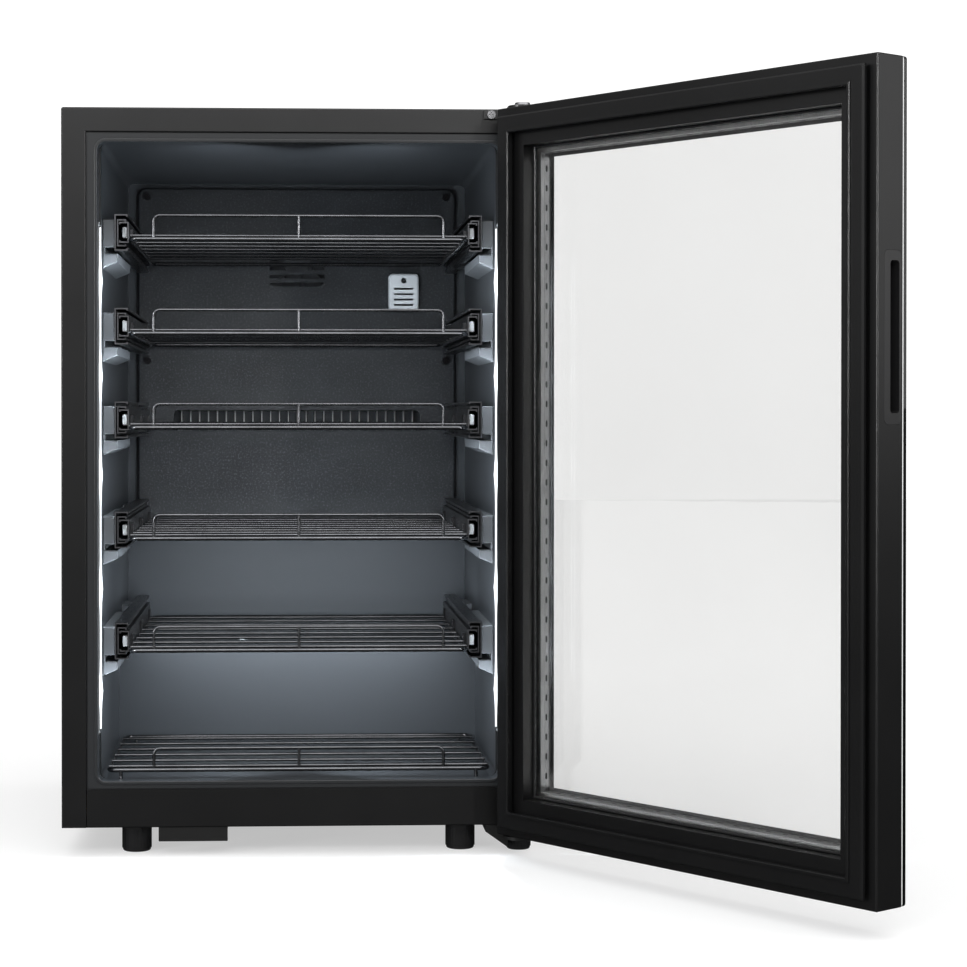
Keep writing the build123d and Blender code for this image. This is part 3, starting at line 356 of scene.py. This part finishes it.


# lit lens, with a painted halo of light where the line spreads past the lens
glow = lit("led_glow", (0.93, 0.97, 1.0), 2.2)
for side, side_name in SIDES:
    b = bmesh.new()
    glow_line(b, side)
    new_piece(f"led_glow_{side_name}", b, "cabinet", glow.material)

# the door's own frame: u runs from the free edge to the hinge edge, v from the front glass inwards
REST_ANGLE = 126.9  # degrees the door stands open at rest
DOOR_LEFT, DOOR_RIGHT = -0.435, 0.015
DOOR_LOW, DOOR_HIGH = 0.0238, 0.7068
HINGE = Vector(next(j for j in frame["joints"] if j["name"] == "door_hinge")["pos_m"])
HINGE.z = 0
ALONG = Vector((math.cos(math.radians(REST_ANGLE)), math.sin(math.radians(REST_ANGLE)), 0))
ACROSS = Vector((-ALONG.y, ALONG.x, 0))
UP = Vector((0, 0, 1))


def door_point(u, v, z):
    """A point given in the door's own frame."""
    return HINGE + ALONG * u + ACROSS * v + UP * z


def door_loop(builder, profile):
    """Sweeps a closed outline of (inset from the door's edge, v) points round all four sides."""
    corners = []
    for side_u, side_z in ((-1, -1), (1, -1), (1, 1), (-1, 1)):
        corners.append([
            builder.verts.new(door_point(
                DOOR_RIGHT - inset if side_u > 0 else DOOR_LEFT + inset,
                v,
                DOOR_HIGH - inset if side_z > 0 else DOOR_LOW + inset,
            ))
            for inset, v in profile
        ])
    count = len(profile)
    for n in range(4):
        here, there = corners[n], corners[(n + 1) % 4]
        for k in range(count):
            j = (k + 1) % count
            builder.faces.new((here[k], here[j], there[j], there[k]))
    bmesh.ops.recalc_face_normals(builder, faces=builder.faces)


glass_print = moulded("glass_print", (0.006, 0.006, 0.006), 0.35, relief=0.00001)
# the dark of the breathing slots: painted shade inside the holes, laid on the spacer as plates
painted_slot_shade = moulded("painted_slot_shade", (0.03, 0.03, 0.031), 0.6)

# black print behind the edge of the front glass, which hides the spacer from the front
PRINT_INSET = 0.0012
CLEAR_INSET = 0.0465
PRINT_BACK, PRINT_FRONT = -0.01311, -0.01314
b = bmesh.new()
door_loop(b, [
    (PRINT_INSET, PRINT_FRONT), (CLEAR_INSET, PRINT_FRONT),
    (CLEAR_INSET, PRINT_BACK), (PRINT_INSET, PRINT_BACK),
])
new_piece("door_glass_print", b, "door", glass_print.material)

# raised channel along the spacer's inner faces, and its row of breathing slots drawn as thin dark plates: painted
# shade for the holes
SPACER_INSET = 0.043
SPACER_MIDDLE = -0.00635
CHANNEL_HALF = 0.0026
CHANNEL_PROUD = 0.0004
CHANNEL_BEVEL = 0.0003
CHANNEL_SUNK = 0.0002  # into the spacer, so that it has no gap behind it
CHANNEL_TOP = SPACER_INSET + CHANNEL_PROUD
b = bmesh.new()
door_loop(b, [
    (SPACER_INSET - CHANNEL_SUNK, SPACER_MIDDLE - CHANNEL_HALF),
    (CHANNEL_TOP - CHANNEL_BEVEL, SPACER_MIDDLE - CHANNEL_HALF),
    (CHANNEL_TOP, SPACER_MIDDLE - CHANNEL_HALF + CHANNEL_BEVEL),
    (CHANNEL_TOP, SPACER_MIDDLE + CHANNEL_HALF - CHANNEL_BEVEL),
    (CHANNEL_TOP - CHANNEL_BEVEL, SPACER_MIDDLE + CHANNEL_HALF),
    (SPACER_INSET - CHANNEL_SUNK, SPACER_MIDDLE + CHANNEL_HALF),
])
new_piece("spacer_channel", b, "door", finishes["spacer_aluminium"].material)

SLOT_PITCH = 0.0183
SLOT_LONG = 0.0062
SLOT_WIDE = 0.0024
SLOT_THICK = 0.00008
SLOT_SUNK = 0.00002
SLOT_ARC = 6  # segments in each rounded end


def stadium(builder, centre, along, wide, normal):
    """A thin round-ended plate that lies on a face."""
    straight = (SLOT_LONG - SLOT_WIDE) / 2
    outline = []
    for end in (1, -1):
        for n in range(SLOT_ARC + 1):
            angle = math.pi * n / SLOT_ARC - math.pi / 2
            outline.append(
                along * end * (straight + SLOT_WIDE / 2 * math.cos(angle))
                + wide * end * SLOT_WIDE / 2 * math.sin(angle)
            )
    low = [builder.verts.new(centre + p) for p in outline]
    high = [builder.verts.new(centre + p + normal * SLOT_THICK) for p in outline]
    builder.faces.new(low[::-1])
    builder.faces.new(high)
    for n in range(len(outline)):
        m = (n + 1) % len(outline)
        builder.faces.new((low[n], low[m], high[m], high[n]))


def slot_places(low, high):
    """Where a row of slots stands along one side, centred on it."""
    count = int((high - low - 2 * slot_inset) / SLOT_PITCH)
    return [(low + high) / 2 + (n - (count - 1) / 2) * SLOT_PITCH for n in range(count)]


slot_inset = CHANNEL_TOP - SLOT_SUNK
# thin dark plates where the slots are: painted shade for the holes
b = bmesh.new()
for u, normal in ((DOOR_RIGHT - slot_inset, -ALONG), (DOOR_LEFT + slot_inset, ALONG)):
    for z in slot_places(DOOR_LOW, DOOR_HIGH):
        stadium(b, door_point(u, SPACER_MIDDLE, z), UP, ACROSS, normal)
for z, normal in ((DOOR_HIGH - slot_inset, -UP), (DOOR_LOW + slot_inset, UP)):
    for u in slot_places(DOOR_LEFT, DOOR_RIGHT):
        stadium(b, door_point(u, SPACER_MIDDLE, z), ALONG, ACROSS, normal)
bmesh.ops.recalc_face_normals(b, faces=b.faces)
new_piece("painted_slot_shades", b, "door", painted_slot_shade.material)

# ---------------------------------------------------------------- stage
FLOOR_HALF = 9.0
FLOOR_GLOW = 0.50  # lifts the floor to the backdrop's white
floor_mesh = bpy.data.meshes.new("floor")
b = bmesh.new()
bmesh.ops.create_grid(b, x_segments=1, y_segments=1, size=FLOOR_HALF)
b.to_mesh(floor_mesh)
b.free()
floor = bpy.data.objects.new("floor", floor_mesh)
bpy.context.collection.objects.link(floor)
floor_look = moulded("floor", (0.5, 0.5, 0.5), 0.8, relief=0.00001, variation=0.01)
floor_look.set(Emission_Color=(1, 1, 1, 1), Emission_Strength=FLOOR_GLOW)
floor_mesh.materials.append(floor_look.material)
floor.visible_glossy = False

world = bpy.data.worlds.new("studio")
bpy.context.scene.world = world
world.use_nodes = True
backdrop = world.node_tree.nodes["Background"]
backdrop.inputs["Color"].default_value = (1, 1, 1, 1)


def world_node(kind, *sources, **settings):
    """A node in the studio's own graph, fed in order."""
    node = world.node_tree.nodes.new(kind)
    for key, value in settings.items():
        setattr(node, key, value)
    for source, target in zip(sources, node.inputs):
        world.node_tree.links.new(source, target)
    return node


def world_ramp(source, low, high, out_low, out_high):
    """A smooth step from one value to another."""
    node = world_node("ShaderNodeMapRange", source, interpolation_type="SMOOTHSTEP")
    set_range(node, low, high, out_low, out_high)
    return node.outputs["Result"]


def world_sum(operation, first, second, **settings):
    """Two values put together."""
    node = world_node("ShaderNodeMath", first, second, operation=operation, **settings)
    return node.outputs["Value"]


BACKDROP = 1.18  # a little over white, like the floor that meets it
# the room is dark below and behind, and lighter towards its ceiling
direction = world_node("ShaderNodeTexCoord").outputs["Generated"]
heading = world_node("ShaderNodeSeparateXYZ", direction)
by_height = world_ramp(heading.outputs["Z"], -0.14, 0.30, 0.10, 0.80)
by_depth = world_ramp(heading.outputs["Y"], -0.35, 0.35, 1.0, 0.25)
room = world_sum("MULTIPLY", by_height, by_depth)
# looked at directly or straight through the glass, it is the white backdrop
path = world_node("ShaderNodeLightPath")
looked_at = world_sum("MAXIMUM", path.outputs["Is Camera Ray"], path.outputs["Is Transmission Ray"])
bounces = world_sum("ADD", path.outputs["Glossy Depth"], path.outputs["Diffuse Depth"])
seen = world_sum("SUBTRACT", looked_at, bounces, use_clamp=True)
mixed = world_node("ShaderNodeMapRange", seen)
mixed.inputs["To Max"].default_value = BACKDROP
world.node_tree.links.new(room, mixed.inputs["To Min"])
world.node_tree.links.new(mixed.outputs["Result"], backdrop.inputs["Strength"])


def add_light(data, name, place, target):
    """A light that faces a point and isn't itself seen."""
    lamp = bpy.data.objects.new(name, data)
    lamp.location = place
    lamp.rotation_mode = "QUATERNION"
    lamp.rotation_quaternion = (Vector(target) - Vector(place)).to_track_quat("-Z", "Y")
    lamp.visible_camera = False
    bpy.context.collection.objects.link(lamp)
    return lamp


def area_light(name, place, target, width, height, power, colour=(1, 1, 1)):
    """A soft rectangular light that faces a point."""
    data = bpy.data.lights.new(name, "AREA")
    data.energy = power
    data.color = colour
    data.shape = "RECTANGLE"
    data.size = width
    data.size_y = height
    return add_light(data, name, place, target)


overhead = bpy.data.lights.new("overhead", "SUN")
overhead.energy = 2.0
overhead.angle = math.radians(100)
add_light(overhead, "overhead", (0.3, -0.8, 3.0), (0, 0, 0))
# each box light: where it stands, what it faces, its width and height, and its watts
area_light("front_top", (-0.3, -3.2, 1.9), (0, 0, 0.6), 2.4, 0.5, 24)
area_light("left_box", (-2.3, -2.3, 0.85), (0.1, -0.3, 0.85), 0.4, 1.1, 26)
area_light("right_box", (2.8, -0.9, 0.98), (0.1, -0.4, 0.98), 0.9, 1.1, 3)

# tall strips beside the camera that only draw highlights along rounded edges
for name, place in (("glint_left", (-1.9, -2.0, 1.0)), ("glint_right", (1.25, -2.6, 1.0))):
    glint = area_light(name, place, (0.2, -0.3, 0.75), 0.14, 1.1, 22)
    glint.visible_diffuse = False
    glint.visible_transmission = False

# the light that the strips' lamps throw into the cabinet
LAMP_POWER = 0.29
LAMP_RADIUS = 0.004
LAMP_INWARD = 0.009  # from the lens's inner face
LAMP_BEHIND = 0.006  # behind the lens
inside = []  # seen neither in reflections nor through the door's glass
for side, side_name in SIDES:
    for n, height in enumerate(LAMP_HEIGHTS):
        data = bpy.data.lights.new(f"lamp_{n + 1}_{side_name}", "POINT")
        data.energy = LAMP_POWER
        data.color = COOL_WHITE
        data.shadow_soft_size = LAMP_RADIUS
        place = (side * (lens_inner - LAMP_INWARD), lens_high[1] + LAMP_BEHIND, height)
        inside.append(add_light(data, data.name, place, (0, 0, height)))
for side, side_name in SIDES:
    inside.append(area_light(
        f"wall_fill_{side_name}", (side * 0.05, -0.225, 0.37), (side * 0.19, 0.02, 0.37),
        0.05, 0.55, 4.3, COOL_WHITE,
    ))
inside.append(area_light(
    "inner_fill", (0, -0.03, 0.21), (0, 0.2, 0.13), 0.30, 0.06, 1.4, COOL_WHITE,
))
for light in inside:
    light.visible_glossy = False
    light.visible_transmission = False

# ---------------------------------------------------------------- camera
CAMERA_YAW = 0.0434  # radians towards the hinge side
CAMERA_PITCH = -0.0086
camera_data = bpy.data.cameras.new("camera")
camera = bpy.data.objects.new("camera", camera_data)
bpy.context.collection.objects.link(camera)
camera_data.lens = 86.77
camera_data.shift_x = 0.10
camera_data.shift_y = -0.05
camera.location = (-0.0128, -2.4519, 0.4190)
camera.rotation_euler = (math.pi / 2 + CAMERA_PITCH, 0, -CAMERA_YAW)
bpy.context.scene.camera = camera
bpy.context.scene.view_settings.view_transform = "Standard"
